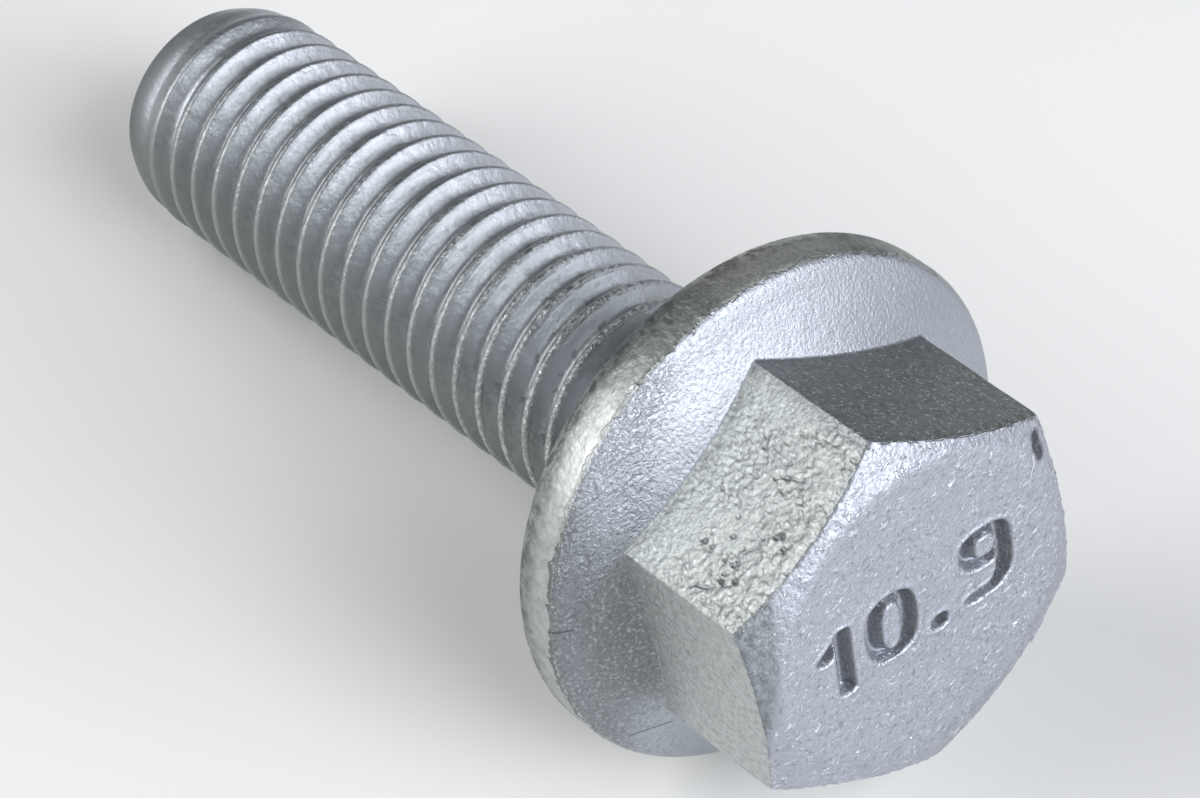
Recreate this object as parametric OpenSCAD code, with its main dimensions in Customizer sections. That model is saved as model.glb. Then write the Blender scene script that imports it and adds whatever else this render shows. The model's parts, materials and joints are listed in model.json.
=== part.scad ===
// Hexagon flange bolt, M10 coarse thread, property class 10.9, threaded up to the head.
// One forged and rolled piece. It is drawn along its own Z axis with the bearing face at z = 0,
// the head above and the thread below, and then laid down as it comes to rest on a table:
// on the rim of the flange and on the last full turns of the thread.
// All sizes are millimetres and degrees.

/* [Thread] */
// Nominal diameter of the thread
thread_d = 10; // [8:0.5:12]
// Pitch of the thread
pitch = 1.5; // [1:0.25:1.75]
// Length from the bearing face to the end
shank_l = 35; // [25:1:50]
// Diameter of the end, where the chamfer has run down
end_d = 8.4; // [6:0.1:8.4]
// Length of the rounded chamfer at the end
end_l = 2.1; // [1:0.1:3]
// Distance from the bearing face to the last full turn
run_out = 3.4; // [2.6:0.1:4.5]

/* [Flange] */
// Diameter of the flange
flange_d = 22; // [21:0.5:26]
// Radius of the rim on the side of the bearing face
rim_low_r = 1.3; // [0.8:0.1:1.6]
// Radius of the rim on the side of the head
rim_high_r = 0.6; // [0.4:0.1:0.9]
// Height of the upright band between the two radii
rim_band = 0.95; // [0.5:0.05:1.5]
// Slope of the cone that runs from the rim to the hexagon
cone_angle = 24; // [15:1:30]

/* [Head] */
// Width across the flats of the hexagon
flats = 15; // [13:0.5:17]
// Height of the head above the bearing face
head_h = 11.1; // [9.5:0.1:13]
// Diameter of the flat top inside the chamfer
top_d = 13.6; // [11:0.1:14]
// Slope of the chamfer over the corners
chamfer_angle = 26.3; // [20:0.1:32]
// How far the trimmed chamfer sits off the middle
chamfer_shift = 0.28; // [0:0.02:0.4]

/* [Turn about its own axis] */
// Direction of one corner of the hexagon
hex_turn = 6; // [0:1:60]
// Direction in which the chamfer sits off the middle
shift_turn = 142; // [0:1:359]
// Height of a crest of the thread, within one pitch
crest_z = -0.38; // [-1.4:0.02:0]

/* [Hidden] */

// A rolled thread stays a little under its nominal size
major_r = thread_d / 2 - 0.016;
// The root of the thread lies this deep under the crest
thread_depth = 0.6134 * pitch;
minor_r = major_r - thread_depth;
// Rolling pushes as much metal out as in, so the blank has the pitch diameter
blank_r = major_r - 0.3248 * pitch;
end_r = min(end_d / 2, major_r - 0.5);
neck_l = 1.2;
fillet_r = 0.6;

flange_r = flange_d / 2;
bearing_r = flange_r - rim_low_r;
corner_r = flats / 2 / cos(30);
top_r = min(top_d / 2, flats / 2 - chamfer_shift - 0.2);

// Where the upper radius of the rim runs into the cone
cone_r = flange_r - rim_high_r + rim_high_r * sin(cone_angle);
cone_z = rim_low_r + rim_band + rim_high_r * cos(cone_angle);
cone_in_r = flats / 2 - 1;
cone_in_z = cone_z + (cone_r - cone_in_r) * tan(cone_angle);

// The bolt rests on the round of the rim and on the thread where the end chamfer starts
rest_z = shank_l - end_l;
reach = rest_z + rim_low_r;
rise = bearing_r - major_r;
tilt = atan(rise / reach) + asin(rim_low_r / norm([rise, reach]));
lift = bearing_r * cos(tilt) + rim_low_r * (1 - sin(tilt));

// Half way between the top of the head and the end, as it lies
head_x = head_h * cos(tilt) + (top_r + chamfer_shift * cos(shift_turn)) * sin(tilt);
end_x = -shank_l * cos(tilt) - end_r * sin(tilt);
mid_x = (head_x + end_x) / 2;

// The thread as a mesh: steps in one turn, and the rows in one pitch
STEPS = 36;
ROWS = 4;
// Each row: its place in the pitch, counted from the crest, and its radius
ROW_PLACE = [-0.0625, 0.0625, 0.0625 + 0.6134 * tan(30), 0.9375 - 0.6134 * tan(30)];
ROW_R = [major_r, major_r, minor_r, minor_r];

$fn = 96;

// Points of an arc about [x, y], from angle a to angle b
function arc(x, y, r, a, b, n = 6) = [
    for (i = [0:n]) [x + r * cos(a + (b - a) * i / n), y + r * sin(a + (b - a) * i / n)]
];

// 1 where the thread has its full depth, 0 on the neck under the head
function depth_share(z) = min(1, max(0, (-z - neck_l) / (run_out - neck_l)));

// One point of the thread: step i round the turn, row m up the shank
function thread_point(i, m, z_low) =
    let (
        place = floor(m / ROWS) + ROW_PLACE[m % ROWS] + i / STEPS,
        z = z_low + pitch * place,
        r = blank_r + (ROW_R[m % ROWS] - blank_r) * depth_share(z),
        a = 360 * i / STEPS
    )
    [r * cos(a), r * sin(a), z];

// A threaded rod, one turn longer than the shank at its free end. Its other end is inside the head.
module thread_rod() {
    turns_down = ceil((shank_l + crest_z) / pitch) + 1;
    z_low = crest_z - turns_down * pitch;
    last = ROWS * (turns_down + 1 + floor(1 / pitch)) + 2;
    per_step = last + 1;
    points = [for (i = [0:STEPS - 1]) for (m = [0:last]) thread_point(i, m, z_low)];
    low_hub = len(points);
    high_hub = low_hub + 1;
    hubs = [[0, 0, z_low], [0, 0, z_low + pitch * (last / ROWS + 0.5)]];

    // Row m of one step meets row m of the next, and after a whole turn row m + ROWS
    side = [
        for (i = [0:STEPS - 1])
            let (wrap = i == STEPS - 1, next = wrap ? ROWS : (i + 1) * per_step)
            for (m = [0:last - 1 - (wrap ? ROWS : 0)])
                let (a = i * per_step + m, b = next + m)
                for (face = [[a, a + 1, b + 1], [a, b + 1, b]]) face
    ];
    low_loop = concat([for (i = [0:STEPS - 1]) i * per_step], [for (m = [ROWS:-1:1]) m]);
    high_loop = concat(
        [for (i = [0:STEPS - 1]) i * per_step + last],
        [for (m = [1:ROWS]) STEPS * per_step - 1 - m]
    );
    low_cap = [for (k = [0:len(low_loop) - 1]) [low_hub, low_loop[k], low_loop[(k + 1) % len(low_loop)]]];
    high_cap = [for (k = [0:len(high_loop) - 1]) [high_hub, high_loop[(k + 1) % len(high_loop)], high_loop[k]]];
    polyhedron(concat(points, hubs), concat(side, low_cap, high_cap));
}

// Everything inside the rounded chamfer of the end
module end_envelope() {
    full_r = major_r + 1;
    shoulder_z = end_l * 0.6 - shank_l;
    shoulder_r = end_r + (major_r - end_r) * 0.66;
    slope = (major_r - shoulder_r) / (end_l * 0.4);
    rotate_extrude()
        polygon([
            [0, -shank_l],
            [end_r, -shank_l],
            [shoulder_r, shoulder_z],
            [full_r, shoulder_z + (full_r - shoulder_r) / slope],
            [full_r, 2 * pitch],
            [0, 2 * pitch],
        ]);
}

// The threaded shank
module shank() {
    color("silver")
        intersection() {
            thread_rod();
            end_envelope();
        }
}

// The small radius between the neck and the bearing face
module neck_fillet() {
    edge_r = blank_r + 0.03;
    color("silver")
        rotate_extrude()
            polygon(concat(
                [[blank_r - 1, 0.4], [edge_r + fillet_r, 0.4]],
                arc(edge_r + fillet_r, -fillet_r, fillet_r, 90, 180),
                [[blank_r - 1, -fillet_r]]
            ));
}

// The flange: flat bearing face, rounded rim and cone
module flange() {
    color("gainsboro")
        rotate_extrude()
            polygon(concat(
                [[0, 0]],
                arc(bearing_r, rim_low_r, rim_low_r, -90, 0),
                arc(flange_r - rim_high_r, rim_low_r + rim_band, rim_high_r, 0, 90 - cone_angle, 4),
                [[cone_in_r, cone_in_z], [0, cone_in_z]]
            ));
}

// The hexagon with its corners chamfered to a round flat top
module hexagon() {
    base_z = rim_low_r;
    wide_r = corner_r + 1;
    color("lightsteelblue")
        intersection() {
            rotate([0, 0, hex_turn])
                translate([0, 0, base_z])
                    cylinder(r = corner_r, h = head_h, $fn = 6);
            rotate([0, 0, shift_turn])
                translate([chamfer_shift, 0, 0])
                    rotate_extrude()
                        polygon([
                            [0, 0],
                            [wide_r, 0],
                            [wide_r, head_h - (wide_r - top_r) * tan(chamfer_angle)],
                            [top_r, head_h],
                            [0, head_h],
                        ]);
        }
}

// The whole bolt, laid down as it rests
module bolt() {
    translate([-mid_x, 0, lift])
        rotate([0, 90 - tilt, 0])
            union() {
                shank();
                neck_fillet();
                flange();
                hexagon();
            }
}

bolt();
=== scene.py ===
# %% [markdown]
# # A hexagon flange bolt on a pale table
# The bolt is one forged and rolled piece of steel under a thin, dull silver zinc coat. The packed
# CAD model gives its place and its true sizes. This lesson dresses it: a forged head with its
# wrinkled skin and stamped figures, a rolled thread, a procedural coat, a floor, lights and a camera.

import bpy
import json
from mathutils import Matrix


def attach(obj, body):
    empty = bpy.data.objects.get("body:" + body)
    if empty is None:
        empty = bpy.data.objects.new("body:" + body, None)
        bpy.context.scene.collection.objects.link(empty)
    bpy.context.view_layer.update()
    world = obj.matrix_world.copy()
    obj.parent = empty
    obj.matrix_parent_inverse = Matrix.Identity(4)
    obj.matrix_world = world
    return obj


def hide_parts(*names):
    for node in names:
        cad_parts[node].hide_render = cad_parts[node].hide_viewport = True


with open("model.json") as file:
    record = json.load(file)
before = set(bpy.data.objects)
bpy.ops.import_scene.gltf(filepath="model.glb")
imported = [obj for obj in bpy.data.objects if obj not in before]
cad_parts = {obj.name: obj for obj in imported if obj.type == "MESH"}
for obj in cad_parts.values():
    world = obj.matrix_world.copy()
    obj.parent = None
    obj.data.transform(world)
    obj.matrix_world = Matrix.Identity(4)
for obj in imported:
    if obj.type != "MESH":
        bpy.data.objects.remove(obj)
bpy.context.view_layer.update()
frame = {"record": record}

# %% [markdown]
# ## The bolt's own axis
# A bolt is easiest to draw standing up, in millimetres about its own axis: the bearing face at
# height 0, the head above it and the thread below. One matrix then lays the finished mesh down in
# metres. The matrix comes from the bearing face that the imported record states, so nothing is
# fitted by eye.

# %% Read the bearing face and make the laying-down matrix
import bmesh
import bpy
import cmath
import json
import math
import random
from bmesh.types import BMEdge, BMVert
from mathutils import Matrix, Vector, noise
from types import SimpleNamespace

MM = 0.001
mounts = {mount["name"]: mount for mount in frame["record"]["mounts"]}
seat = Vector(mounts["bearing_face"]["pos_m"])
along = -Vector(mounts["bearing_face"]["axis"]).normalized()
sideways = Vector((0, 1, 0))
downhill = sideways.cross(along)
TURN = Matrix((downhill, sideways, along)).transposed().to_4x4()
LAY_DOWN = Matrix.Translation(seat) @ TURN @ Matrix.Scale(MM, 4)
print("bearing face at", tuple(round(c, 5) for c in seat), "axis", tuple(round(c, 4) for c in along))

# %% [markdown]
# ## Sizes
# These repeat the few driving sizes of the CAD source, in millimetres and degrees. The head's
# height, the shank's length and the crest radius come from the record again. The flange is drawn
# 0.01 mm smaller than its solid, so that no lump of its skin stands past it.

# %% Name the sizes
SHANK_L = mounts["thread"]["dims"]["length_mm"]
CREST_R = mounts["thread"]["dims"]["r_mm"]
HEAD_H = (Vector(mounts["head_top"]["pos_m"]) - seat).length / MM
PITCH = 1.5
ROOT_R = CREST_R - 0.6134 * PITCH
BLANK_R = CREST_R - 0.3248 * PITCH
NECK_L = 1.2
RUN_OUT = 3.4
END_R = 4.2
END_L = 2.1
CREST_Z = -0.38

FLANGE_R = 10.99
RIM_LOW_R = 1.3
RIM_HIGH_R = 0.6
RIM_BAND = 0.95
CONE = math.radians(24)
FILLET_R = 0.6

APOTHEM = 7.5
CORNER = math.radians(6)
SIXTH = math.tau / 6
TOP_R = 6.8
CHAMFER = math.radians(26.3)
SHIFT = 0.28
SHIFT_ANGLE = math.radians(142)
print("head", round(HEAD_H, 2), "mm high, shank", SHANK_L, "mm long")

# %% [markdown]
# ## The outline of the head, column by column
# The head changes from a round top to a hexagon to a round flange. Seen from any direction round
# the axis, its section is one bent line with rounded bends. Complex numbers keep that line short to
# write: the real part runs outwards and the imaginary part runs up. Every column has the same
# count of points, so the columns join into clean rings.

# %% The hexagon, the chamfer and the cone as functions of the direction
CORNER_ROUND = 0.14
CONE_R = FLANGE_R - RIM_HIGH_R


def from_corner(angle):
    """The angle to the nearest corner of the hexagon."""
    away = (angle - CORNER) % SIXTH
    return min(away, SIXTH - away)


def hexagon_r(angle, corner_round=CORNER_ROUND):
    """How far out the hexagon's wall stands, with its upright corners rounded."""
    away = from_corner(angle)
    centre = (APOTHEM - corner_round) / math.cos(SIXTH / 2)
    half_turn = math.atan2(corner_round * math.sin(SIXTH / 2), centre + corner_round * math.cos(SIXTH / 2))
    if away > half_turn:
        return APOTHEM / math.cos(SIXTH / 2 - away)
    return centre * math.cos(away) + math.sqrt(corner_round**2 - (centre * math.sin(away)) ** 2)


def top_r(angle):
    """How far out the flat top reaches. The tool that cut the chamfer ran a little off the middle."""
    swing = angle - SHIFT_ANGLE
    return SHIFT * math.cos(swing) + math.sqrt(TOP_R**2 - (SHIFT * math.sin(swing)) ** 2)


def chamfer_z(radius, angle):
    """The height of the chamfer at that place."""
    centre = cmath.rect(SHIFT, SHIFT_ANGLE)
    return HEAD_H - (abs(cmath.rect(radius, angle) - centre) - TOP_R) * math.tan(CHAMFER)


def cone_z(radius):
    """The height of the flange's cone."""
    tangent_r = FLANGE_R - RIM_HIGH_R + RIM_HIGH_R * math.sin(CONE)
    tangent_z = RIM_LOW_R + RIM_BAND + RIM_HIGH_R * math.cos(CONE)
    return tangent_z + (tangent_r - radius) * math.tan(CONE)


# %% A bent line with rounded bends
def smooth(low, high, value):
    """0 below low, 1 above high, and a soft rise between."""
    share = min(1.0, max(0.0, (value - low) / (high - low)))
    return share * share * (3 - 2 * share)


def rounded_line(points, rounds, straight_steps, bend_steps):
    """Points along a bent line of complex numbers, with an arc of the given radius at each bend."""
    line = [points[0]]
    bends = zip(points, points[1:], points[2:], rounds, straight_steps, bend_steps)
    for before, bend, after, radius, straight, steps in bends:
        into = (bend - before) / abs(bend - before)
        turn = cmath.phase((after - bend) / abs(after - bend) / into)
        first = bend - into * radius * math.tan(abs(turn) / 2)
        start = line[-1]
        line += [start + (first - start) * i / straight for i in range(1, straight + 1)]
        side = into * radius * (1j if turn > 0 else -1j)
        line += [first + side - side * cmath.exp(1j * turn * i / steps) for i in range(1, steps + 1)]
    start = line[-1]
    last = straight_steps[-1]
    line += [start + (points[-1] - start) * i / last for i in range(1, last + 1)]
    return line


# %% [markdown]
# ## The plain form of the head
# A fan of triangles makes a poor top, because they all meet in one thin point. A square grid bent
# into a round patch has even cells, so the stamp comes out crisp. Its border is then extruded ring
# by ring: over the chamfer, down the walls, along the cone and round the rim to the neck. Marks
# painted on the points remember which zone each one belongs to.

# %% Make the round top from a square grid
GRID = 144
COLUMNS = 4 * GRID
TOP_EDGE = 0.42
TOP_Z = HEAD_H - 0.004


def column_angle(share):
    """The direction of a column, from 0 to 1 round the bolt. Columns crowd a little at the corners."""
    place = share * 6 % 1 * 2 - 1
    packed = place * (1.30 - 0.30 * place * place)
    return CORNER + SIXTH * (math.floor(share * 6 + 1e-9) + (packed + 1) / 2)


def grid_to_disc(x, y):
    """Bends a square from -1 to 1 into a disc: how far out, and the share of a turn."""
    out = max(abs(x), abs(y))
    if out == 0:
        return 0.0, 0.0
    if abs(x) >= abs(y):
        eighths = y / x + (4 if x < 0 else 0)
    else:
        eighths = 2 - x / y + (4 if y < 0 else 0)
    return out, (eighths / 8) % 1


head = bmesh.new()
ZONES = ("top", "wall", "fold", "cone", "rim", "edge", "sunk", "worn", "chamfer")
marks = {name: head.verts.layers.float.new(name) for name in ZONES}
bmesh.ops.create_grid(head, x_segments=GRID, y_segments=GRID, size=1)
border = {}
for vert in head.verts:
    out, share = grid_to_disc(vert.co.x, vert.co.y)
    angle = column_angle(share)
    radius = out * (top_r(angle) - TOP_EDGE)
    vert.co = (radius * math.cos(angle), radius * math.sin(angle), TOP_Z)
    vert[marks["top"]] = 1
    if out > 1 - 1e-6:
        border[round(share * COLUMNS) % COLUMNS] = vert
print("top:", len(head.verts), "points,", len(border), "of them on the border")

# %% Work out the column under each border point
BENT_AT = ("top", "chamfer", "wall", "cone", "band", "under", "neck")
STRAIGHT = (1, 7, 36, 18, 2, 2, 2)
BENDS = (4, 5, 5, 7, 9, 3)
ROUNDS = (0.35, 0.10, 0.20, RIM_HIGH_R, RIM_LOW_R, FILLET_R)


def column(angle):
    """The section of the head in one direction, from the flat top to the neck."""
    edge = top_r(angle)
    wall = hexagon_r(angle)
    points = [
        complex(edge - TOP_EDGE, TOP_Z),
        complex(edge, TOP_Z),
        complex(wall, chamfer_z(wall, angle)),
        complex(wall, cone_z(wall)),
        complex(FLANGE_R, cone_z(FLANGE_R)),
        complex(FLANGE_R, 0),
        complex(BLANK_R + 0.03, 0),
        complex(BLANK_R + 0.03, -2 * FILLET_R),
    ]
    return rounded_line(points, ROUNDS, STRAIGHT, BENDS)


angles = [column_angle(k / COLUMNS) for k in range(COLUMNS)]
columns = [column(angle) for angle in angles]
rows = len(columns[0])
first_of = {}
row = 0
for name, straight, bend in zip(BENT_AT, STRAIGHT, BENDS + (0,)):
    first_of[name] = row
    row += straight + bend
print("each column has", rows, "points; rows start at", first_of)


# %% [markdown]
# ## Marks for the zones
# A number painted on each point says how far it belongs to a zone, and a material can read it later.
# The rim has one more, for how pale it is: painted light at the left, painted shade at the back.

# %% Marks of a point of the head
PITTED_SIDE = CORNER + 3.5 * SIXTH
RIM_TONES = (
    (0, 0.60), (130, 0.60), (150, 0.45), (160, 1.00), (172, 1.20), (181, 0.85), (190, 0.42), (201, 0.30),
    (210, 0.45), (219, 0.90), (231, 1.05), (240, 0.78), (250, 0.74), (290, 0.70), (360, 0.60),
)


def side_of(angle):
    """The middle direction of the side of the hexagon that this angle belongs to."""
    return CORNER + (round((angle - CORNER) / SIXTH - 0.5) + 0.5) * SIXTH


def rim_tone(angle, z):
    """How pale the rim is in a direction and at a height, from 0 to 1, as painted light and shade."""
    degrees = math.degrees(angle) % 360
    tone = 0.6
    for (before, a), (after, b) in zip(RIM_TONES, RIM_TONES[1:]):
        if before <= degrees <= after:
            tone = a + (b - a) * smooth(before, after, degrees)
    # Painted shade low down at the back of the rim.
    low_down = 0.45 * smooth(185, 200, degrees) * (1 - smooth(1.1, 1.9, z))
    return tone * (1 - low_down)


def zone_marks(row, angle, z):
    """Every mark of a point, by its row in the column, its direction and its height."""
    wall_row, cone_row, rim_row = first_of["wall"], first_of["cone"], first_of["band"] - 3
    on_wall = float(wall_row - 4 < row < cone_row - 3)
    return {
        "top": 1 - smooth(wall_row - 4, wall_row, row),
        "edge": 1 - smooth(1, 4, abs(row - wall_row + 2)),
        "wall": on_wall,
        "fold": on_wall * (abs(side_of(angle) - PITTED_SIDE) < 0.1),
        "cone": float(cone_row - 3 <= row < rim_row),
        "rim": float(row >= rim_row),
        "worn": rim_tone(angle, z),
        "chamfer": smooth(2, 5, row) * (1 - smooth(wall_row - 3, wall_row, row)),
    }


# %% Extrude the border ring by ring
def only(kind, geometry):
    """The points or the edges among what an operator has returned."""
    return [item for item in geometry if isinstance(item, kind)]


def place_key(vert):
    """The place of a point, rounded, to find its copy after an extrusion."""
    return tuple(round(c, 5) for c in vert.co)


ring = [border[k] for k in range(COLUMNS)]
for row in range(1, rows):
    ring_edges = [head.edges.get((ring[k - 1], ring[k])) for k in range(COLUMNS)]
    grown = bmesh.ops.extrude_edge_only(head, edges=ring_edges)["geom"]
    by_place = {place_key(vert): vert for vert in only(BMVert, grown)}
    ring = [by_place[place_key(vert)] for vert in ring]
    for k, vert in enumerate(ring):
        place = columns[k][row]
        vert.co = (place.real * math.cos(angles[k]), place.real * math.sin(angles[k]), place.imag)
        for name, value in zone_marks(row, angles[k], place.imag).items():
            vert[marks[name]] = value
inner_edge = [head.edges.get((ring[k - 1], ring[k])) for k in range(COLUMNS)]
bmesh.ops.contextual_create(head, geom=inner_edge)
print("plain head:", len(head.verts), "points,", len(head.faces), "faces")

# %% [markdown]
# ## The stamped figures
# The figures 10.9 on such a head are the strength class, a plain number. A hard stamp pushed them
# into the top, so each stroke is a round-bottomed groove, and the metal it displaced stands up
# beside it as a soft rim. The figures are short strokes in their own flat coordinates, and a point
# of the top sinks by its distance to the nearest stroke. The stamp's upright strokes are almost
# twice as wide as its level ones, so heights are stretched before the distance is taken.

# %% Strokes of the figures
GROOVE_W = 0.48
GROOVE_D = 0.50
RIM_H = 0.055
STRETCH = 1.8


def bowl(middle, half_width, half_height, first, last, steps=14):
    """Points round an upright oval with squarish shoulders, from one angle to another in degrees."""
    points = []
    for i in range(steps + 1):
        angle = math.radians(first + (last - first) * i / steps)
        cos, sin = math.cos(angle), math.sin(angle)
        points.append(middle + complex(
            half_width * math.copysign(abs(cos) ** 0.75, cos),
            half_height * math.copysign(abs(sin) ** 0.75, sin),
        ))
    return points


stem_of_one = [complex(-3.70, 1.40), complex(-3.64, -1.36)]
flag_of_one = [complex(-3.80, 1.20), complex(-4.56, 0.64)]
figure_zero = bowl(complex(-1.36, 0.31), 0.86, 1.31, 0, 360, 28)
point_mark = [complex(0.88, -1.02), complex(0.92, -0.80)]
bowl_of_nine = bowl(complex(3.32, 1.33), 0.88, 0.70, -15, 345, 20)
tail_of_nine = [complex(4.18, 1.24), complex(4.26, 0.60), complex(4.22, 0.02), complex(4.02, -0.48)]
tail_of_nine += [complex(3.58, -0.80), complex(2.62, -0.84)]
strokes = []
for figure in (stem_of_one, flag_of_one, figure_zero, point_mark, bowl_of_nine, tail_of_nine):
    tall = [complex(point.real, STRETCH * point.imag) for point in figure]
    strokes += list(zip(tall, tall[1:]))


def to_stroke(x, y):
    """The stretched way from the nearest stroke to a place of the top."""
    point = complex(y, -STRETCH * x)
    nearest = 9 + 0j
    for start, end in strokes:
        along_stroke = end - start
        share = ((point - start) * along_stroke.conjugate()).real / abs(along_stroke) ** 2
        away = point - start - along_stroke * min(1, max(0, share))
        nearest = min(nearest, away, key=abs)
    return nearest


# %% [markdown]
# ## Smaller cells where the detail is small
# The figures and the badly forged side need cells half as wide as the rest. Subdividing only their
# edges keeps the piece light, and the operator closes the border to the larger cells by itself.
# The lowest line of a groove is almost flat and is left out.

# %% Subdivide round the figures and on the pitted side
FIGURES_R = 5.6
FINE_FROM, FINE_TO = 0.06, 0.64


def is_fine(edge):
    """True for an edge that lies by a figure or on the pitted side."""
    middle = (edge.verts[0].co + edge.verts[1].co) / 2
    if all(vert[marks["fold"]] == 1 for vert in edge.verts):
        return True
    if middle.z < TOP_Z - 1e-4 or middle.xy.length > FIGURES_R:
        return False
    return FINE_FROM < abs(to_stroke(middle.x, middle.y)) < FINE_TO


fine_edges = [edge for edge in head.edges if is_fine(edge)]
bmesh.ops.subdivide_edges(head, edges=fine_edges, cuts=1, use_grid_fill=True)
print(len(fine_edges), "edges split; head:", len(head.verts), "points")

# %% [markdown]
# ## The forged skin
# A cold-forged head is not smooth. The metal flows up the die and leaves lumps, and on one side it
# has folded into fine wrinkles with small pits. Bump shading alone would leave the outline perfect,
# so the larger forms move the mesh itself. Seeded noise gives the same skin on every run.

# %% Where the pits, dents and cracks lie
random.seed(109)
PIT_GROUPS = (
    (2.35, 8.25, 0.30, 9), (2.85, 8.35, 0.12, 2), (0.48, 9.35, 0.13, 3), (0.80, 9.90, 0.14, 3),
    (1.45, 6.80, 0.45, 6),
)
CRACKS = (
    (complex(-1.19, 7.75), complex(-1.94, 8.88), 0.11),
    (complex(-2.3, 6.2), complex(-1.2, 6.9), 0.07),
    (complex(3.74, 7.33), complex(1.92, 9.91), 0.06),
    (complex(0.2, 5.6), complex(0.9, 6.4), 0.07),
)
NICK = Vector((-4.20, 6.42, 10.80))
NICK_DEEP = 0.10


def one_pit(u, z, spread):
    """A pit near the middle of its group: its place on the side, its size and its depth."""
    place = random.gauss(u, spread), random.gauss(z, spread)
    return (*place, random.uniform(0.05, 0.09), random.uniform(0.07, 0.14))


pits = [one_pit(u, z, spread) for u, z, spread, count in PIT_GROUPS for _ in range(count)]
dents = [
    (random.uniform(0, math.tau), 6.2 * math.sqrt(random.random()), random.uniform(0.08, 0.2))
    for _ in range(26)
]
print(len(pits), "pits,", len(dents), "dents,", len(CRACKS), "cracks and one nick")


# %% Noise on a flat side
def at(scale_x, scale_y, offset, place):
    """Noise at a place of a flat side, with its own scale across and up."""
    return noise.noise(Vector((place.real * scale_x, place.imag * scale_y, offset)))


def crease(value, width):
    """1 along the lines where the noise passes through zero, 0 away from them."""
    return 1 - smooth(0, width, abs(value))


def cell_border(place, scale_u, scale_z, offset, width):
    """1 along the borders between irregular cells, 0 inside them."""
    near, second = noise.voronoi(Vector((place.real * scale_u, place.imag * scale_z, offset)))[0][:2]
    return 1 - smooth(0, width, second - near)


# %% The folds and pits of one side
def wrinkles(place):
    """The folds and pits of the badly forged side, at a place u + zi: u along it, z up it."""
    u, z = place.real, place.imag
    bent = place + 0.34 * complex(at(1.1, 1.1, 3.1, place), at(1.1, 1.1, 8.2, place))
    bent += 0.10 * complex(at(3.5, 3.5, 5.1, place), at(3.5, 3.5, 1.2, place))
    level = smooth(-0.2, 2.2, u) * smooth(5.6, 7.8, z)
    leather = cell_border(bent, 2.9, 2.0, 7.7, 0.22) * smooth(-0.25, 0.15, at(1.0, 1.0, 6.6, place))
    small_leather = cell_border(bent, 5.5, 4.4, 2.2, 0.30)
    level_folds = crease(at(1.2, 3.4, 1.3, bent), 0.30)
    blobs = at(3.4, 2.8, 5.5, bent)
    fine = at(7.0, 5.6, 2.6, place)
    smooth_patch = max(
        smooth(0.20, 0.42, at(0.42, 0.42, 9.4, place)),
        1 - smooth(0.35, 0.85, math.hypot((u + 2.15) / 1.1, (z - 9.7) / 0.9)),
    )
    to_low_corner = smooth(0.6, 2.6, u)
    strength = (0.60 + 0.40 * smooth(4.2, 6.2, z)) * (1 - 0.9 * smooth_patch)
    folds = 0.030 * leather * (1 - 0.7 * to_low_corner) + 0.014 * small_leather
    folds += (0.030 * level_folds - 0.4 * folds) * level
    depth = strength * (0.018 * blobs - folds + 0.026 * fine)
    for start, end, deep in CRACKS:
        way = end - start
        share = min(1, max(0, ((bent - start) * way.conjugate()).real / abs(way) ** 2))
        depth -= deep * (1 - smooth(0.02, 0.09, abs(bent - start - way * share))) * (1 - 0.7 * share)
    for pit_u, pit_z, size, deep in pits:
        torn = place + 0.10 * complex(at(5.0, 5.0, 0.7, place), at(5.0, 5.0, 2.9, place))
        near = abs(torn - complex(pit_u, pit_z)) / size
        if near < 1.8:
            depth -= deep * (1 - smooth(0.3, 1.6, near))
    return depth


# %% How far the skin stands out
def lumps(place):
    """The slow rise and fall of the coat, in millimetres."""
    return 0.014 * noise.noise(place * 0.55) + 0.007 * noise.noise(place * 1.7)


def skin_of_wall(co):
    """How far the skin stands out at a point of the walls."""
    angle = math.atan2(co.y, co.x)
    middle = side_of(angle)
    u = math.hypot(co.x, co.y) * math.sin(angle - middle)
    edge = smooth(0.0, 0.5, APOTHEM * math.tan(SIXTH / 2) - abs(u))
    place = complex(u, co.z)
    if abs((middle - PITTED_SIDE + math.pi) % math.tau - math.pi) < 0.1:
        return lumps(co) - 0.01 + (0.45 + 0.55 * edge) * wrinkles(place)
    ripple = 0.010 * at(2.4, 1.6, middle, place)
    faint_line = 0.02 * crease(at(0.5, 0.4, middle, place), 0.03)
    return lumps(co) - 0.01 + ripple - faint_line


def skin_of_top(co):
    """How far the top rises or sinks, and 0 to 1 for the painted shade on the far wall of a groove."""
    offset = to_stroke(co.x, co.y)
    away = abs(offset)
    sunk = 1 - smooth(0.02, GROOVE_W, away)
    far_wall = smooth(-0.02, 0.10, offset.real) * (1 - smooth(0.78 * GROOVE_W, 0.98 * GROOVE_W, away))
    lip = math.exp(-(((away - GROOVE_W - 0.12) / 0.13) ** 2)) * (0.8 + 0.5 * noise.noise(co * 1.6))
    height = RIM_H * lip - GROOVE_D * sunk + 0.5 * lumps(co) - 0.006
    for dent_angle, dent_r, size in dents:
        near = math.hypot(co.x - dent_r * math.cos(dent_angle), co.y - dent_r * math.sin(dent_angle)) / size
        if near < 1.5:
            height -= 0.03 * (1 - smooth(0.1, 1.4, near))
    return height, far_wall


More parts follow.
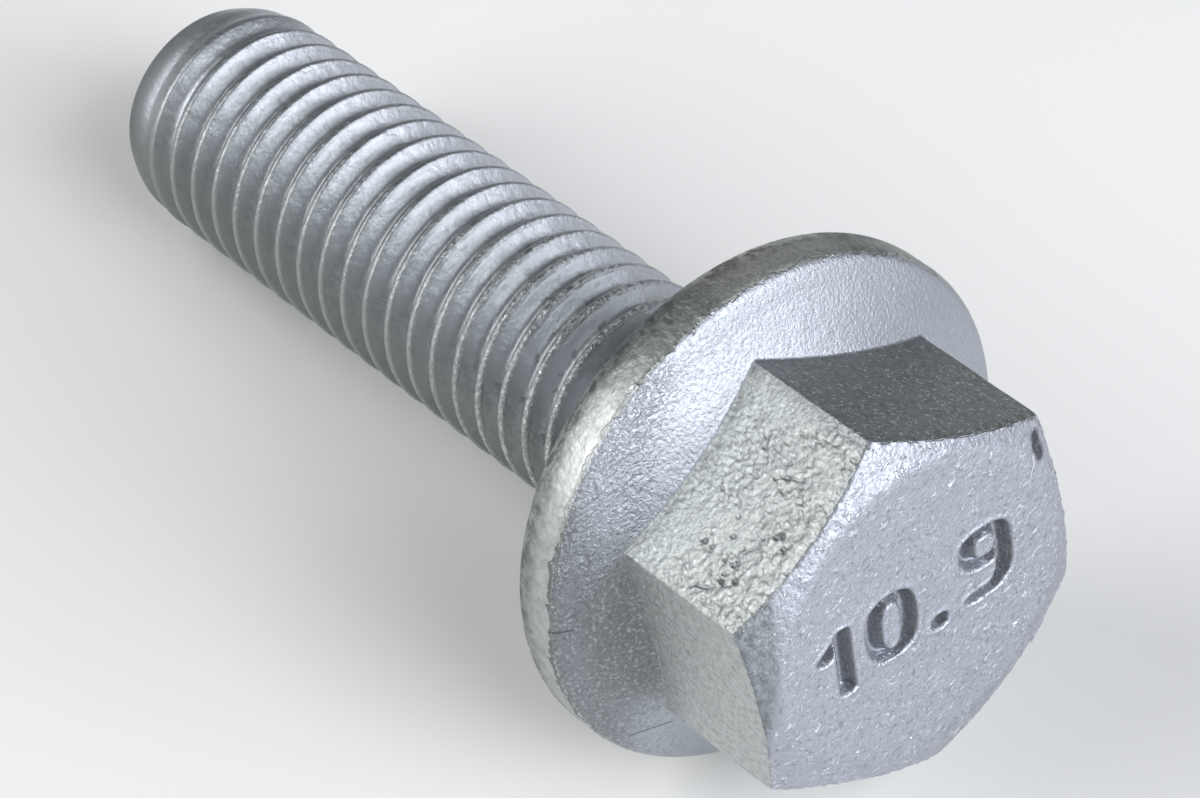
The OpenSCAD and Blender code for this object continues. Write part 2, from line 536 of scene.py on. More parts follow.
# %% Move every point of the head by its skin
head.normal_update()
bmesh.ops.recalc_face_normals(head, faces=head.faces[:])
head.normal_update()
for vert in head.verts:
    co = vert.co.copy()
    nick = 1 - smooth(0.12, 0.34, (co - NICK).length)
    if vert[marks["rim"]] > 0.5:
        continue
    if co.z > TOP_Z - 1e-4:
        height, far_wall = skin_of_top(co)
        vert[marks["sunk"]] = far_wall
        vert.co.z += height
    elif vert[marks["wall"]] > 0.5:
        torn = 0.07 * noise.noise(co * 2.8) + 0.05 * noise.noise(co * 7.0) - 0.04
        depth = skin_of_wall(co)
        # The same mark puts painted shade in the pits and folds of the wrinkled side.
        vert[marks["sunk"]] = smooth(0.02, 0.10, -depth) * vert[marks["fold"]]
        vert.co += vert.normal * (depth - NICK_DEEP * nick + vert[marks["edge"]] * torn)
    elif vert[marks["cone"]] > 0.5:
        inside = smooth(0, 0.5, CONE_R - co.xy.length)
        vert.co += vert.normal * inside * (lumps(co) + 0.008 * noise.noise(co * 4) - 0.02)
    else:
        torn = 0.024 * noise.noise(co * 2.6) + 0.018 * noise.noise(co * 6.5) - 0.016
        vert.co += vert.normal * (lumps(co) + torn * (1 + 2 * vert[marks["edge"]]) - NICK_DEEP * nick)
print("head:", len(head.verts), "points,", len(head.faces), "faces")


# %% Finish a piece
def finish_piece(bm, name):
    """Turns a bmesh drawn about the bolt's axis into a shaded object that lies in its place."""
    bmesh.ops.recalc_face_normals(bm, faces=bm.faces[:])
    mesh = bpy.data.meshes.new(name)
    bm.to_mesh(mesh)
    bm.free()
    mesh.transform(LAY_DOWN)
    mesh.shade_smooth()
    piece = bpy.data.objects.new(name, mesh)
    bpy.context.scene.collection.objects.link(piece)
    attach(piece, "root")
    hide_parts("bolt")
    triangles = sum(len(face.vertices) - 2 for face in mesh.polygons)
    print(name, "has", triangles, "triangles")
    return piece


forged_head = finish_piece(head, "forged_head")

# %% [markdown]
# ## The rolled thread
# Rolling squeezes the blank between two dies, so the crests are rounded and the roots are smooth.
# Spinning one tooth of the profile once round the axis, while it climbs one pitch, gives one turn of
# the helix. Copies of that turn are stacked a pitch apart, each meets the next one, and merging the
# doubles closes the seams. One spin over all the turns would give the same, but much more slowly.
# Each flank is four shares of the pitch: flat crest, round of the crest, straight flank and round of
# the root. The coat has filled the roots, so the groove is 0.70 mm deep and not the standard's 0.92.

# %% Spin one tooth into a helix
STEPS = 160
SHARES = (
    -0.5, -0.47, -0.44, -0.33, -0.22, -0.17, -0.125, -0.08, -0.04,
    0, 0.035, 0.07, 0.105, 0.14, 0.21, 0.28, 0.35, 0.42, 0.5,
)
DEPTH = 0.70
HEAD_FLANK = (0.00, 0.14, 0.14, 0.22)
END_FLANK = (0.02, 0.16, 0.26, 0.06)
turns_down = math.ceil((SHANK_L + CREST_Z) / PITCH) + 1
turns = turns_down + 2


def tooth_r(share):
    """The radius of the thread at a share of a pitch away from the crest."""
    flat, crest, flank, root = HEAD_FLANK if share > 0 else END_FLANK
    away = max(0, abs(share) - flat)
    on_flank = min(max(away - crest, 0), flank)
    on_root = max(away - crest - flank, 0)
    fall = min(away, crest) ** 2 / (2 * crest) + on_flank + on_root - on_root**2 / (2 * root)
    return CREST_R - 0.02 - DEPTH * fall / (crest / 2 + flank + root / 2)


shank = bmesh.new()
crest_mark = shank.verts.layers.float.new("crest")
low = CREST_Z - turns_down * PITCH
profile = [shank.verts.new((tooth_r(s), 0, low + s * PITCH)) for s in SHARES]
links = [shank.edges.new(pair) for pair in zip(profile, profile[1:])]
bmesh.ops.spin(
    shank, geom=profile + links, cent=(0, 0, 0), axis=(0, 0, 1), dvec=(0, 0, PITCH / STEPS),
    angle=math.tau, steps=STEPS, use_merge=False, use_duplicate=False,
)
one_turn = shank.verts[:] + shank.edges[:] + shank.faces[:]
for turn in range(1, turns):
    copy = bmesh.ops.duplicate(shank, geom=one_turn)["geom"]
    bmesh.ops.translate(shank, vec=(0, 0, turn * PITCH), verts=only(BMVert, copy))
before = len(shank.verts)
bmesh.ops.remove_doubles(shank, verts=shank.verts[:], dist=0.002)
print("thread:", before, "points,", before - len(shank.verts), "of them merged")

# %% [markdown]
# The dies leave the thread shallow under the head and at the end. The point of the bolt is
# chamfered before rolling, so the last turn fades into a smooth round end. Moving each point in or
# out along its own radius does both, and a little noise roughens the crests near the head.

# %% Fade the thread out and round off the end
CREST_SHARES = (0.82, 0.97)
FILLED = 0.92


def end_limit(z):
    """How far out anything may stand near the end."""
    rise = max(0.0, (z + SHANK_L) / END_L)
    return END_R + (CREST_R + 0.05 - END_R) * min(1.6, rise) ** 0.72


def soft_min(a, b, width=0.35):
    """The smaller of two lengths, with the corner between them rounded."""
    share = min(1.0, max(0.0, 0.5 + 0.5 * (b - a) / width))
    return b + (a - b) * share - width * share * (1 - share) * 0.5


def worn_r(co, radius, crest_share):
    """How far out a point of the thread ends up."""
    from_end = co.z + SHANK_L
    depth_share = min(1.0, max(0.0, (-co.z - NECK_L) / (RUN_OUT - NECK_L)))
    near_head = 1 - smooth(2.0, 14.0, -co.z)
    rough = max(0.0, noise.noise(co * 2.6)) * 0.05 + max(0.0, noise.noise(co * 6.0)) * 0.03
    wanted = BLANK_R + (radius - BLANK_R) * depth_share
    wanted -= crest_share * (0.30 + 0.70 * near_head) * rough
    filled = FILLED * (1 - smooth(0.8, 4.6, from_end))
    wanted += (CREST_R - 0.06 - wanted) * filled
    return soft_min(wanted, end_limit(co.z)) if from_end < 2 * END_L else wanted


for vert in shank.verts:
    radius = vert.co.xy.length
    crest_share = smooth(*CREST_SHARES, (radius - ROOT_R) / (CREST_R - ROOT_R))
    wanted = worn_r(vert.co, radius, crest_share)
    vert[crest_mark] = crest_share * smooth(1.0, 4.5, vert.co.z + SHANK_L)
    vert.co.x *= wanted / radius
    vert.co.y *= wanted / radius

# %% [markdown]
# The rod is longer than the bolt at both ends. A plane cuts it square inside the head, where a face
# closes it. The free end is cut too, and the open edge is drawn in with a few small extrusions, so
# that the end face rounds over like a rolled one and is a little hollow in the middle.

# %% Cut both ends and close them
END_LIP = 0.22
END_STEPS = ((0.988, 0.09), (0.965, 0.07), (0.93, 0.04), (0.88, 0.02), (0.5, -0.05))


def cut(bm, z, up):
    """Cuts the mesh square at a height and drops what lies beyond. Returns the open edge."""
    everything = bm.verts[:] + bm.edges[:] + bm.faces[:]
    result = bmesh.ops.bisect_plane(
        bm, geom=everything, dist=1e-5, plane_co=(0, 0, z), plane_no=(0, 0, up), clear_outer=True,
    )
    return only(BMEdge, result["geom_cut"])


bmesh.ops.contextual_create(shank, geom=cut(shank, 0.5, 1))
open_edge = cut(shank, -SHANK_L + END_LIP, -1)
for shrink, drop in END_STEPS:
    grown = bmesh.ops.extrude_edge_only(shank, edges=open_edge)["geom"]
    rim_verts = only(BMVert, grown)
    open_edge = [e for e in only(BMEdge, grown) if all(v in rim_verts for v in e.verts)]
    bmesh.ops.scale(shank, vec=(shrink, shrink, 1), verts=rim_verts)
    bmesh.ops.translate(shank, vec=(0, 0, -drop), verts=rim_verts)
bmesh.ops.contextual_create(shank, geom=open_edge)
rolled_shank = finish_piece(shank, "rolled_shank")

# %% [markdown]
# ## The zinc coat
# The coat is metal flakes in a dull binder: it is metallic but blurs what it mirrors. Shader nodes
# draw it, so it stays sharp at any size. Most of the tree repeats two steps: multiply some shares,
# then lay a tone over the colour by that share. Helpers keep these steps short.

# %% Helpers that add nodes
def new_material(name):
    """An empty material with its node tree and its shader."""
    material = bpy.data.materials.new(name)
    material.use_nodes = True
    tree = material.node_tree
    shader = tree.nodes["Principled BSDF"]
    return material, tree, shader


def add(tree, kind, inputs=None, **settings):
    """Adds a node, sets its options, and fills or links its inputs."""
    node = tree.nodes.new(kind)
    for key, value in settings.items():
        setattr(node, key, value)
    for key, value in (inputs or {}).items():
        if isinstance(value, bpy.types.NodeSocket):
            tree.links.new(value, node.inputs[key])
        else:
            node.inputs[key].default_value = value
    return node


def calc(tree, operation, a, b=0.0, c=0.0, clamp=False):
    """A Math node. Returns its output."""
    return add(tree, "ShaderNodeMath", {0: a, 1: b, 2: c}, operation=operation, use_clamp=clamp).outputs[0]


def vector_calc(tree, operation, a, b=(0, 0, 0), c=(0, 0, 0), output="Vector"):
    """A Vector Math node. Returns one of its outputs."""
    return add(tree, "ShaderNodeVectorMath", {0: a, 1: b, 2: c}, operation=operation).outputs[output]


def ramp(tree, value, low, high, to_low=0.0, to_high=1.0):
    """A Map Range node with a soft rise."""
    inputs = {"Value": value, "From Min": low, "From Max": high, "To Min": to_low, "To Max": to_high}
    return add(tree, "ShaderNodeMapRange", inputs, interpolation_type="SMOOTHSTEP").outputs["Result"]


def noise_at(tree, vector, scale, detail=2.0, rough=0.5):
    """A Noise Texture. Returns its grey output."""
    inputs = {"Vector": vector, "Scale": scale, "Detail": detail, "Roughness": rough}
    return add(tree, "ShaderNodeTexNoise", inputs).outputs["Fac"]


def spots(tree, vector, scale, detail, rough, *limits):
    """A noise pushed through a ramp, so that it leaves spots."""
    return ramp(tree, noise_at(tree, vector, scale, detail, rough), *limits)


# %% Helpers for shares and tones
def product(tree, *shares):
    """Shares multiplied with one another."""
    whole = shares[0]
    for share in shares[1:]:
        whole = calc(tree, "MULTIPLY", whole, share)
    return whole


def between(tree, share, a, b):
    """A colour between two tones: a where the share is 0, b where it is 1."""
    a, b = ((*tone, 1) if isinstance(tone, tuple) else tone for tone in (a, b))
    return add(tree, "ShaderNodeMix", {0: share, 6: a, 7: b}, data_type="RGBA").outputs[2]


def layered(tree, colour, *layers):
    """Lays tones over a colour, one by one. A layer is a tone and the shares that make its strength."""
    for tone, *shares in layers:
        colour = between(tree, product(tree, *shares), colour, tone)
    return colour


# %% [markdown]
# ## Where on the bolt a place is
# The patterns read Object coordinates, turned back into the bolt's own axis and into millimetres, so
# a scale means the same on every piece. The marks painted on the mesh say which zone a place
# belongs to.

# %% Helpers that say where a place is
def direction(azimuth, elevation=0):
    """A unit vector from two angles in degrees."""
    a, e = math.radians(azimuth), math.radians(elevation)
    return Vector((math.cos(e) * math.cos(a), math.cos(e) * math.sin(a), math.sin(e)))


def where(tree):
    """A place in millimetres about the bolt's own axis, with its height and its distance from it."""
    inputs = {
        "Vector": add(tree, "ShaderNodeTexCoord").outputs["Object"],
        "Location": LAY_DOWN.inverted().translation,
        "Rotation": TURN.inverted().to_euler(),
        "Scale": (1 / MM, 1 / MM, 1 / MM),
    }
    place = add(tree, "ShaderNodeMapping", inputs, vector_type="POINT").outputs["Vector"]
    level = vector_calc(tree, "MULTIPLY", place, (1, 1, 0))
    return SimpleNamespace(
        place=place,
        z=add(tree, "ShaderNodeSeparateXYZ", {0: place}).outputs[2],
        radius=vector_calc(tree, "LENGTH", level, output="Value"),
    )


def mark(tree, name):
    """A mark painted on the mesh."""
    return add(tree, "ShaderNodeAttribute", attribute_name=name).outputs["Fac"]


def toward(tree, place, azimuth, *limits):
    """How far a place lies towards a direction, in millimetres, or as a share between two limits."""
    distance = vector_calc(tree, "DOT_PRODUCT", place, tuple(direction(azimuth)), output="Value")
    return ramp(tree, distance, *limits) if limits else distance


# %% Helpers for patterns with a direction
def stretched(tree, place, scale, degrees=0):
    """The same place, turned about the bolt's axis and stretched, for a pattern with a direction."""
    inputs = {"Vector": place, "Rotation": (0, 0, math.radians(degrees))}
    turned = add(tree, "ShaderNodeMapping", inputs).outputs["Vector"]
    return add(tree, "ShaderNodeMapping", {"Vector": turned, "Scale": scale}).outputs["Vector"]


def line_between(tree, place, start, end, width):
    """1 on a thin straight line between two places seen along the bolt's axis, 0 away from it."""
    way = Vector(end) - Vector(start)
    offset = vector_calc(tree, "SUBTRACT", vector_calc(tree, "MULTIPLY", place, (1, 1, 0)), start)
    dot = vector_calc(tree, "DOT_PRODUCT", offset, tuple(way / way.length_squared), output="Value")
    share = calc(tree, "ADD", dot, 0.0, clamp=True)
    foot = add(tree, "ShaderNodeVectorMath", {0: way, "Scale": share}, operation="SCALE").outputs["Vector"]
    gap = vector_calc(tree, "DISTANCE", offset, foot, output="Value")
    return ramp(tree, gap, 0.35 * width, width, 1.0, 0.0)


# %% [markdown]
# ## The coat of the head
# Colour and relief follow the same patterns, because a fleck that stands proud is also rubbed
# bright. So the patterns are made once and kept under one name. Sides are given by their azimuth
# about the bolt's axis: 0 looks down, 90 towards +Y, 180 up and 270 towards -Y, which is low at the
# left in the photo. The cone has painted shade there.

# %% Patterns of the head
LOW_CHAMFER, LOW_LEFT_SIDE, ROUGH_CONE, DARK_SIDE, UP = 262, 273, 240, 156, 180
SCRATCHES = (
    ((6.14, -6.64, 0), (6.16, -8.33, 0), 0.06),
    ((-0.67, -10.88, 0), (-0.61, -10.14, 0), 0.07),
)


def head_patterns(tree):
    """Where a place is, its marks, and the grey patterns that colour and relief share."""
    h = where(tree)
    place = h.place
    for name in ("top", "wall", "fold", "cone", "rim", "sunk", "worn", "chamfer"):
        setattr(h, name, mark(tree, name))
    h.broken = calc(tree, "MULTIPLY_ADD", noise_at(tree, place, 1.0, 3, 0.70), 1.2, -0.6)
    h.cloudy = noise_at(tree, place, 0.8, 4, 0.6)
    h.patchy = noise_at(tree, place, 2.4, 4, 0.6)
    h.grain = noise_at(tree, place, 7.0, 1, 0.5)
    h.specks = product(tree, spots(tree, place, 5.5, 2, 0.6, 0.61, 0.69), h.wall)
    h.flecks = spots(tree, place, 6.5, 2, 0.6, 0.50, 0.70)
    h.hollows = spots(tree, place, 5.2, 3, 0.6, 0.32, 0.52, 1.0, 0.0)
    h.rough = toward(tree, place, ROUGH_CONE, 7.4, 9.6)
    h.scratch = 0.0
    for start, end, width in SCRATCHES:
        h.scratch = calc(tree, "MAXIMUM", line_between(tree, place, start, end, width), h.scratch)
    return h


# %% [markdown]
# The top carries short raised streaks in loose clusters, which are rubbed bright. Stretched noise
# gives streaks, and a slow noise that bends the place first keeps them from lying all one way.

# %% Streaks on the top
LONG_STREAK = ((-4.02, 6.15, 0), (-3.17, 5.79, 0), 0.07)


def add_streaks(tree, h):
    """Streaks of two directions, and the clusters in which they lie."""
    sway = add(tree, "ShaderNodeTexNoise", {"Vector": h.place, "Scale": 0.7, "Detail": 2.0})
    swayed = vector_calc(tree, "MULTIPLY_ADD", sway.outputs["Color"], (0.9, 0.9, 0.9), h.place)
    h.clusters = spots(tree, h.place, 0.9, 3, 0.6, 0.42, 0.60, 0.15, 1.0)
    one_way = spots(tree, stretched(tree, swayed, (5.2, 1.5, 4.0), -25), 1.0, 2, 0.6, 0.60, 0.67)
    other_way = spots(tree, stretched(tree, swayed, (2.2, 5.6, 4.0), 20), 1.0, 2, 0.6, 0.61, 0.68)
    both = calc(tree, "MAXIMUM", one_way, other_way)
    long_streak = line_between(tree, h.place, *LONG_STREAK)
    h.streaks = calc(tree, "MAXIMUM", product(tree, both, h.clusters), long_streak)


# %% [markdown]
# The coat ends in a broken edge on the round of the rim. Comparing the height with a level gives a
# straight edge, so noise is added to the height first. Low down the edge shows as a dark line.

# %% Where the coat ends
COAT_END_Z = 2.52


def add_coat_edge(tree, h):
    """1 on the bare rim, and 1 on the dark line of the edge."""
    above = calc(tree, "SUBTRACT", COAT_END_Z, h.z)
    below = calc(tree, "ADD", above, product(tree, h.broken, 0.9))
    h.bare = product(tree, ramp(tree, below, -0.03, 0.03), calc(tree, "ADD", h.rim, h.cone, clamp=True))
    line_width = toward(tree, h.place, LOW_LEFT_SIDE, 9.0, 10.4, 0.0, 0.09)
    h.border = calc(tree, "LESS_THAN", calc(tree, "ABSOLUTE", below), line_width)


# %% [markdown]
# The colour starts from two tones for each zone, between which slow noise wanders: cool on the top
# and the cone, warmer and a little green on the walls and the rim. The bare rim is pale or dark by
# its mark of painted light and shade.

# %% The first tones of the head
TONES = {
    "wall": ((0.440, 0.468, 0.468), (0.570, 0.598, 0.590)),
    "fold": ((0.340, 0.365, 0.365), (0.425, 0.450, 0.445)),
    "cone": ((0.400, 0.425, 0.470), (0.445, 0.470, 0.515)),
    "top": ((0.400, 0.422, 0.478), (0.480, 0.505, 0.565)),
    "rim": ((0.130, 0.142, 0.145), (0.560, 0.585, 0.570)),
}


def first_tones(tree, h):
    """The colour of each zone before any wear."""
    unevenness = ramp(tree, h.radius, 9.4, 10.2, 0.25, 0.9)
    uneven = product(tree, calc(tree, "SUBTRACT", h.patchy, 0.5), unevenness)
    # The rim's painted light and shade, with some random unevenness.
    pale = calc(tree, "ADD", h.worn, uneven, clamp=True)
    fold, cone, top = (between(tree, h.cloudy, *TONES[name]) for name in ("fold", "cone", "top"))
    return layered(
        tree, between(tree, h.patchy, *TONES["wall"]),
        (fold, h.fold),
        (cone, h.cone),
        (top, h.top),
        (between(tree, pale, *TONES["rim"]), h.bare),
        ((0.120, 0.125, 0.130), h.border, h.rim, 0.7),
    )


# %% [markdown]
# Then come the differences from side to side. Bright specks stand proud of the walls. Painted shade
# darkens the wall and the cone that look towards azimuth 156, and the chamfer that looks up. On its
# low side the cone is more speckled and has painted shade, most of it close to the hexagon.

# %% Walls, chamfer and cone
SPECK, SHADE = (0.66, 0.69, 0.70), (0.10, 0.11, 0.13)


def tones_of_sides(tree, h, colour):
    """The colour with what differs from side to side, painted shade among it."""
    mottle = spots(tree, h.place, 4.2, 3, 0.65, 0.36, 0.58, 0.30, 0.0)
    # Painted shade on the cone and the wall that look towards azimuth 156.
    dark_cone = toward(tree, h.place, DARK_SIDE, 6.0, 9.0, 0.0, 0.16)
    dark_wall = toward(tree, h.place, DARK_SIDE, 6.8, 7.3)
    # Painted shade on the chamfer that looks up.
    looks_up = toward(tree, h.place, UP, 4.6, 6.6, 0.0, 0.30)
    low = toward(tree, h.place, LOW_LEFT_SIDE)
    # Painted shade on the cone's low side, and more of it close to the hexagon.
    dull = ramp(tree, calc(tree, "ADD", low, h.broken), 7.4, 9.7)
    facing = ramp(tree, calc(tree, "DIVIDE", low, h.radius), 0.80, 0.96)
    by_wall = ramp(tree, h.radius, 8.2, 10.4, 0.70, 0.0)
    speckled = product(tree, ramp(tree, low, 5.0, 8.2, 0.12, 1.0), h.cone)
    return layered(
        tree, colour,
        (SPECK, h.specks, 0.5),
        ((0.12, 0.125, 0.13), mottle, h.wall),
        (SHADE, dark_cone, h.cone),
        (SHADE, dark_wall, h.wall, 0.30),
        ((0.14, 0.15, 0.17), h.chamfer, looks_up),
        ((0.150, 0.166, 0.168), dull, h.cone, 0.64),
        ((0.120, 0.140, 0.130), facing, by_wall, h.cone),
        (SPECK, h.flecks, speckled, 0.38),
        ((0.10, 0.11, 0.11), h.hollows, speckled, 0.36),
    )


# %% The top
RUBBED = (0.80, 0.83, 0.87)


def tones_of_top(tree, h, colour):
    """The colour with the rubbed streaks and the fine dots of the top."""
    dots = spots(tree, h.place, 6.0, 2, 0.6, 0.60, 0.70, 0.0, 0.60)
    dark_dots = spots(tree, h.place, 4.4, 3, 0.6, 0.32, 0.46, 0.42, 0.0)
    return layered(
        tree, colour,
        (RUBBED, h.streaks, h.top, 0.80),
        (RUBBED, dots, h.clusters, h.top),
        ((0.16, 0.17, 0.19), dark_dots, h.top),
    )


# %% [markdown]
# Dirt and painted shade come last, because they lie over everything. Dirt is on the back of the rim,
# in the scratches and in the nick. Painted shade is on the far walls of the figures' grooves, in the
# pits and folds, and along the lower part of the chamfer.

# %% Dirt and painted shade
NICK_LINE = ((-4.55, 6.46, 0), (-3.80, 6.50, 0), 0.40)


def dirt_and_painted_shade(tree, h, colour):
    """The colour with the dirt and the painted shade over it."""
    grime = spots(tree, h.place, 1.7, 4, 0.7, 0.46, 0.58)
    behind = product(tree, ramp(tree, h.z, 0.5, 1.9, 1.0, 0.0), ramp(tree, h.radius, 9.4, 10.2))
    # Painted shade along the lower part of the chamfer, in patches.
    chamfer_shade = toward(tree, h.place, LOW_CHAMFER, 6.5, 7.15)
    chamfer_shade_patches = ramp(tree, h.patchy, 0.30, 0.60, 0.80, 0.35)
    at_top = ramp(tree, h.z, 10.3, 10.5, 0.0, 0.92)
    return layered(
        tree, colour,
        ((0.07, 0.075, 0.075), grime, h.rim, behind, 0.75),
        # Painted shade in the grooves, pits and folds.
        ((0.12, 0.13, 0.14), h.sunk, calc(tree, "MULTIPLY_ADD", h.top, 0.42, 0.40)),
        ((0.150, 0.172, 0.165), chamfer_shade, h.chamfer, chamfer_shade_patches),
        ((0.10, 0.11, 0.12), h.scratch, 0.7),
        ((0.07, 0.075, 0.09), line_between(tree, h.place, *NICK_LINE), at_top),
    )


# %% [markdown]
# The finest relief is a bump, in millimetres. Each zone has its own grain, and the coat stands a
# little proud of the bare rim.

# %% Relief of the head
def head_relief(tree, h):
    """The height of the finest relief, in millimetres."""
    def grown(share, by, height):
        return calc(tree, "MULTIPLY_ADD", share, by, height)

    radial = noise_at(tree, stretched(tree, h.place, (1.5, 1.5, 0.5)), 3.9, 2, 0.55)
    ploughed = noise_at(tree, stretched(tree, h.place, (5.0, 1.9, 2.0), -35), 1.0, 2, 0.55)
    fleck_height = ramp(tree, h.rough, 0.0, 1.0, 0.008, 0.026)
    on_cone = grown(radial, 0.024, product(tree, h.grain, 0.016))
    on_cone = grown(ploughed, product(tree, h.rough, 0.11), on_cone)
    on_cone = grown(h.flecks, fleck_height, on_cone)
    on_cone = grown(h.hollows, product(tree, fleck_height, -0.8), on_cone)
    on_top = grown(h.streaks, 0.060, product(tree, h.grain, 0.034))
    on_top = grown(noise_at(tree, h.place, 1.8, 2, 0.5), 0.030, on_top)
    on_wall = grown(h.specks, 0.035, product(tree, h.grain, 0.030))
    on_fold = product(tree, noise_at(tree, h.place, 5.5, 2, 0.5), 0.034)
    on_rim = product(tree, noise_at(tree, h.place, 3.6, 2, 0.5), 0.045)

    height = product(tree, on_cone, h.cone)
    height = grown(on_top, h.top, height)
    height = grown(on_wall, calc(tree, "SUBTRACT", h.wall, h.fold), height)
    height = grown(on_fold, h.fold, height)
    height = grown(on_rim, h.rim, height)
    height = grown(h.bare, -0.04, height)
    return grown(h.scratch, -0.05, height)


# %% Put the head's coat together
def finish_coat(tree, shader, colour, roughness, height):
    """Links colour, roughness and relief to a metallic shader."""
    bump = add(tree, "ShaderNodeBump", {"Height": height, "Distance": MM, "Strength": 1.0})
    tree.links.new(colour, shader.inputs["Base Color"])
    tree.links.new(roughness, shader.inputs["Roughness"])
    tree.links.new(bump.outputs["Normal"], shader.inputs["Normal"])
    shader.inputs["Metallic"].default_value = 1.0
    print("coat with", len(tree.nodes), "nodes")


def head_coat():
    """Dull silver coat over the forged head."""
    material, tree, shader = new_material("zinc_coat_head")
    h = head_patterns(tree)
    add_streaks(tree, h)
    add_coat_edge(tree, h)
    colour = first_tones(tree, h)
    colour = tones_of_sides(tree, h, colour)
    colour = tones_of_top(tree, h, colour)
    colour = dirt_and_painted_shade(tree, h, colour)
    roughness = calc(tree, "MULTIPLY_ADD", h.bare, 0.04, ramp(tree, h.grain, 0.3, 0.7, 0.46, 0.56))
    finish_coat(tree, shader, colour, roughness, head_relief(tree, h))
    return material


forged_head.data.materials.append(head_coat())

# %% [markdown]
# ## The coat of the thread
# On the thread the coat has run smooth. Painted light brightens the side that looks up and towards
# +Y, and painted shade darkens the other, a little green, where the crests carry a painted highlight.
# Near the head the crests are speckled and the neck has painted shade. The end has painted shade
# where it looks up and towards -Y, and a painted highlight on its side towards +Y.

# %% Tones of the thread
THREAD_LOW, END_SHADE_SIDE = 290, 216


def thread_tones(tree, t):
    """The colour of the flanks, the crests and the bottom of the groove, with painted light and shade by
    side.
    """
    cloudy = noise_at(tree, t.place, 0.6, 3, 0.5)
    # Painted light on the side that looks up and towards +Y.
    bright = ramp(tree, t.low, -3.6, -0.4, 0.75, 0.0)
    in_groove = ramp(tree, t.radius, 4.29, 4.38, 0.5, 0.0)
    # Crest tones: painted shade in the middle, a painted highlight on the low side.
    on_crest = between(tree, ramp(tree, t.low, 0.9, 2.9), (0.190, 0.205, 0.215), (0.395, 0.420, 0.415))
    return layered(
        tree, between(tree, cloudy, (0.385, 0.412, 0.440), (0.425, 0.452, 0.480)),
        ((0.560, 0.590, 0.640), bright),
        # Painted shade on the low side.
        ((0.250, 0.276, 0.270), ramp(tree, t.low, 2.3, 4.3, 0.0, 0.95)),
        # Painted shade in the roots, from the middle to the low side.
        ((0.10, 0.11, 0.12), in_groove, ramp(tree, t.low, -0.8, 0.8)),
        (layered(tree, on_crest, ((0.540, 0.570, 0.620), bright)), t.crest, t.torn),
    )


def thread_wear(tree, t, colour):
    """The colour with dark spots in the groove, painted shade and a painted highlight on the end, the
    specks and painted shade on the neck.
    """
    dark_spots = spots(tree, t.place, 1.6, 3, 0.65, 0.54, 0.62)
    in_groove = ramp(tree, t.radius, 4.36, 4.52, 0.7, 0.0)
    in_neck = ramp(tree, t.z, -3.6, -1.4, 0.0, 0.7)
    return layered(
        tree, colour,
        ((0.11, 0.115, 0.125), dark_spots, in_groove, t.near_head),
        # Painted shade on the end where it looks up and towards -Y.
        ((0.11, 0.12, 0.12), t.end_dull),
        # A painted highlight on the end's side towards +Y.
        ((0.82, 0.85, 0.90), t.at_end, ramp(tree, t.low, -3.4, -1.8, 1.0, 0.0)),
        ((0.76, 0.79, 0.78), t.specks, 0.8),
        # Painted shade on the neck next to the head.
        ((0.12, 0.125, 0.135), in_neck, calc(tree, "SUBTRACT", 1.0, t.crest)),
    )


# %% Put the thread's coat together
def thread_coat():
    """The same coat on the rolled thread."""
    material, tree, shader = new_material("zinc_coat_thread")
    t = where(tree)
    place = t.place
    t.low = toward(tree, place, THREAD_LOW)
    t.crest = mark(tree, "crest")
    t.near_head = ramp(tree, t.z, -19.0, -3.0)
    t.specks = product(tree, spots(tree, place, 5.0, 3, 0.6, 0.46, 0.60), t.crest, t.near_head)
    t.torn = spots(tree, place, 2.6, 3, 0.6, 0.34, 0.58, 0.45, 0.85)
    t.at_end = ramp(tree, t.z, -34.6, -32.8, 0.55, 0.0)
    # Where the end gets painted shade in its colour, and more roughness.
    t.end_dull = product(tree, t.at_end, toward(tree, place, END_SHADE_SIDE, 2.0, 3.8))
    colour = thread_wear(tree, t, thread_tones(tree, t))

    grain = noise_at(tree, place, 7.0, 3, 0.6)
    roughness = calc(tree, "MULTIPLY_ADD", t.end_dull, 0.40, ramp(tree, grain, 0.3, 0.7, 0.46, 0.54))
    height = calc(tree, "MULTIPLY_ADD", grain, 0.016, product(tree, t.specks, 0.05))
    height = calc(tree, "MULTIPLY_ADD", noise_at(tree, place, 1.4, 2, 0.5), 0.07, height)
    height = calc(tree, "MULTIPLY_ADD", t.torn, product(tree, t.crest, 0.05), height)
    finish_coat(tree, shader, colour, roughness, height)
    return material


rolled_shank.data.materials.append(thread_coat())

# %% [markdown]
# ## The floor
# A plain pale floor keeps the bolt's shadow. It is matt, so it mirrors nothing and lights the
# underside of the bolt softly.

# %% Floor
FLOOR_R = 1.5


def floor_paint():
    """Matt off-white with a faint grain."""
    material, tree, shader = new_material("pale_floor")
    coords = add(tree, "ShaderNodeTexCoord").outputs["Object"]
    colour = between(tree, noise_at(tree, coords, 30.0, 2, 0.5), (0.79, 0.79, 0.79), (0.82, 0.82, 0.82))
    tree.links.new(colour, shader.inputs["Base Color"])
    shader.inputs["Roughness"].default_value = 0.9
    shader.inputs["Specular IOR Level"].default_value = 0.0
    return material


sheet = bmesh.new()
bmesh.ops.create_circle(sheet, cap_ends=True, segments=96, radius=FLOOR_R)
floor_mesh = bpy.data.meshes.new("floor")
sheet.to_mesh(floor_mesh)
sheet.free()
floor = bpy.data.objects.new("floor", floor_mesh)
bpy.context.scene.collection.objects.link(floor)
floor.data.materials.append(floor_paint())
print("floor:", 2 * FLOOR_R, "m across")

# %% [markdown]
# ## Light
# Dull metal shows little but what it mirrors, so each soft box stands where a face of the bolt
# looks. Three stand in front of the head, from high up to almost level with the table, and one to
# the right of them. Two at the left light the wrinkled side, the rim and the thread. The room is a
# weak grey.

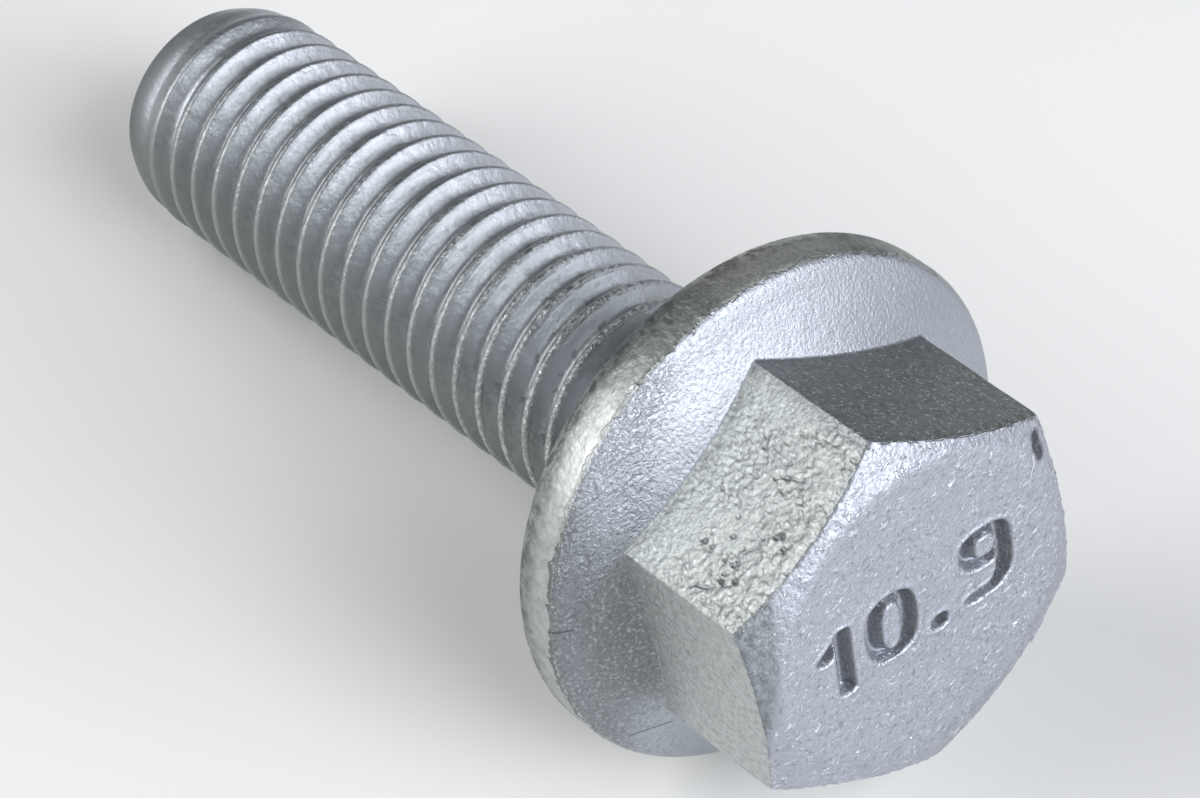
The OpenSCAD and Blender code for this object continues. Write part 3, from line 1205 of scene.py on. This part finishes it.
# %% Soft boxes and the room
AIM = Vector((0.002, 0, 0.010))
AWAY = 0.5
SOFT_BOXES = (
    ("front_high", 0, 47, (0.29, 0.20), 5.7, (0.98, 1.0, 1.03)),
    ("front_low", 12, 24, (0.30, 0.18), 6.9, (0.98, 1.0, 1.04)),
    ("front_floor", 2, 8, (0.24, 0.10), 3.0, (0.98, 1.0, 1.04)),
    ("right_front", 42, 27, (0.27, 0.16), 4.6, (0.98, 1.0, 1.04)),
    ("left_high", 225, 45, (0.29, 0.22), 4.6, (1, 1, 1)),
    ("left_near", 248, 27, (0.32, 0.18), 5.6, (1, 1, 1)),
)


def soft_box(name, azimuth, elevation, size, radiance, colour):
    """A square lamp that faces the bolt. Its radiance is what a mirror would show of it."""
    lamp = bpy.data.lights.new(name, "AREA")
    lamp.shape = "RECTANGLE"
    lamp.size, lamp.size_y = size
    lamp.energy = radiance * math.pi * size[0] * size[1]
    lamp.color = colour
    holder = bpy.data.objects.new(name, lamp)
    bpy.context.scene.collection.objects.link(holder)
    way = direction(azimuth, elevation)
    holder.location = AIM + way * AWAY
    holder.rotation_euler = way.to_track_quat("Z", "Y").to_euler()


for box in SOFT_BOXES:
    soft_box(*box)
world = bpy.data.worlds.new("room")
world.use_nodes = True
room = world.node_tree.nodes["Background"]
room.inputs["Color"].default_value = (0.5, 0.5, 0.5, 1)
room.inputs["Strength"].default_value = 0.25
bpy.context.scene.world = world
print(len(SOFT_BOXES), "soft boxes")

# %% [markdown]
# ## Camera
# The lens and the place are those that match the outline in the photo: 38 degrees from the bolt's
# axis, on the -Y side, and looking down at 48 degrees, with a long lens from 23 cm away.

# %% Camera
camera_data = bpy.data.cameras.new("camera")
camera_data.sensor_width = 36
camera_data.lens = 169.1
camera = bpy.data.objects.new("camera", camera_data)
camera.location = (0.120393, -0.094353, 0.173832)
look = Vector((-0.522916, 0.421904, -0.740646))
camera.rotation_euler = look.to_track_quat("-Z", "Y").to_euler()
bpy.context.scene.collection.objects.link(camera)
bpy.context.scene.camera = camera
bpy.context.scene.view_settings.view_transform = "Standard"
print("camera", round(camera.location.length, 3), "m from the origin")
